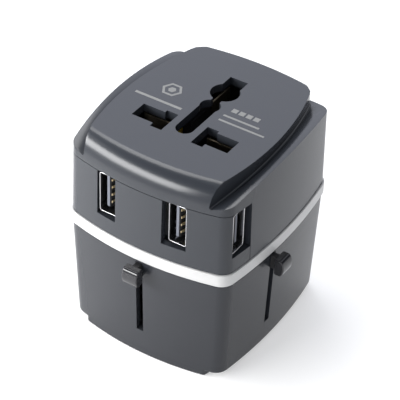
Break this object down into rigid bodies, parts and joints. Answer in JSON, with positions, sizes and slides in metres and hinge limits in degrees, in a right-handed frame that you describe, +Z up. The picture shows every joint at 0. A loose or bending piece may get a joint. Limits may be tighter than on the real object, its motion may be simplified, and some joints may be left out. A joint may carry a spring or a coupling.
{
  "type": "universal travel adapter",
  "caption": "Block-shaped universal travel adapter with a multi-country socket on top, charging ports round the front and slide-out plug pins underneath.",
  "frame": {"origin": "centre of the underside, on the foot strip's face", "axes": "+Z up through the socket face, -Y out of the front with two charging ports, +X to the right seen from the front"},
  "size_m": [0.0648, 0.0644, 0.0664],
  "materials": {
    "shell_plastic": "satin",
    "housing_plastic": "satin",
    "band_silver": "satin brushed",
    "knob_plastic": "gloss",
    "inner_plastic": "matt",
    "chassis_plastic": "matt",
    "board": "solder mask",
    "port_steel": "bright",
    "tongue_plastic": "satin",
    "contact_gold": "bright",
    "ferrite": "matt",
    "winding_tape": "satin",
    "capacitor_sleeve": "satin",
    "chip_black": "matt",
    "fuse_ceramic": "matt",
    "brass": "bright",
    "nickel": "bright",
    "screw_steel": "bright"
  },
  "bodies": {
    "housing": {"top_cover": "shell_plastic", "usb_panel": "shell_plastic", "trim_band": "band_silver", "lower_housing": "housing_plastic", "mid_chassis": "chassis_plastic", "charger_pcb": "board", "usb_shell_front_left": "port_steel", "usb_tongue_front_left": "tongue_plastic", "usb_contacts_front_left": "contact_gold", "usb_shell_front_right": "port_steel", "usb_tongue_front_right": "tongue_plastic", "usb_contacts_front_right": "contact_gold", "usb_shell_side_right": "port_steel", "usb_tongue_side_right": "tongue_plastic", "usb_contacts_side_right": "contact_gold", "usb_shell_side_left": "port_steel", "usb_tongue_side_left": "tongue_plastic", "usb_contacts_side_left": "contact_gold", "transformer_core": "ferrite", "transformer_winding": "winding_tape", "capacitors": "capacitor_sleeve", "driver_chips": "chip_black", "fuse": "fuse_ceramic", "fuse_clips": "contact_gold", "line_socket_contact": "brass", "neutral_socket_contact": "brass", "earth_socket_contact": "brass", "line_busbar": "brass", "neutral_busbar": "brass", "earth_leaf": "brass", "housing_screws": "screw_steel", "cover_screws": "screw_steel"},
    "us_slider": {"us_carriage": "inner_plastic", "us_knob": "knob_plastic", "blade_clips": "screw_steel"},
    "blade_left": {"us_blade_left": "nickel"},
    "blade_right": {"us_blade_right": "nickel"},
    "uk_slider": {"uk_carriage": "inner_plastic", "uk_knob": "knob_plastic", "uk_pin_line": "brass", "uk_pin_neutral": "brass", "uk_pin_earth": "brass", "uk_pin_sleeves": "inner_plastic"},
    "eu_slider": {"eu_carriage": "inner_plastic", "eu_knob": "knob_plastic", "eu_pin_left": "nickel", "eu_pin_right": "nickel", "eu_pin_sleeves": "inner_plastic"}
  },
  "joints": [
    {"name": "us_slide", "type": "slide", "parent": "housing", "child": "us_slider", "axis": [0, 0, -1], "range_m": [0, 0.02]},
    {"name": "blade_left_turn", "type": "hinge", "parent": "us_slider", "child": "blade_left", "pos_m": [-0.00635, -0.0218, 0.02], "axis": [0, 0, 1], "range_deg": [0, 30]},
    {"name": "blade_right_turn", "type": "hinge", "parent": "us_slider", "child": "blade_right", "pos_m": [0.00635, -0.0218, 0.02], "axis": [0, 0, -1], "range_deg": [0, 30]},
    {"name": "uk_slide", "type": "slide", "parent": "housing", "child": "uk_slider", "axis": [0, 0, -1], "range_m": [0, 0.02]},
    {"name": "eu_slide", "type": "slide", "parent": "housing", "child": "eu_slider", "axis": [0, 0, -1], "range_m": [0, 0.02]}
  ]
}
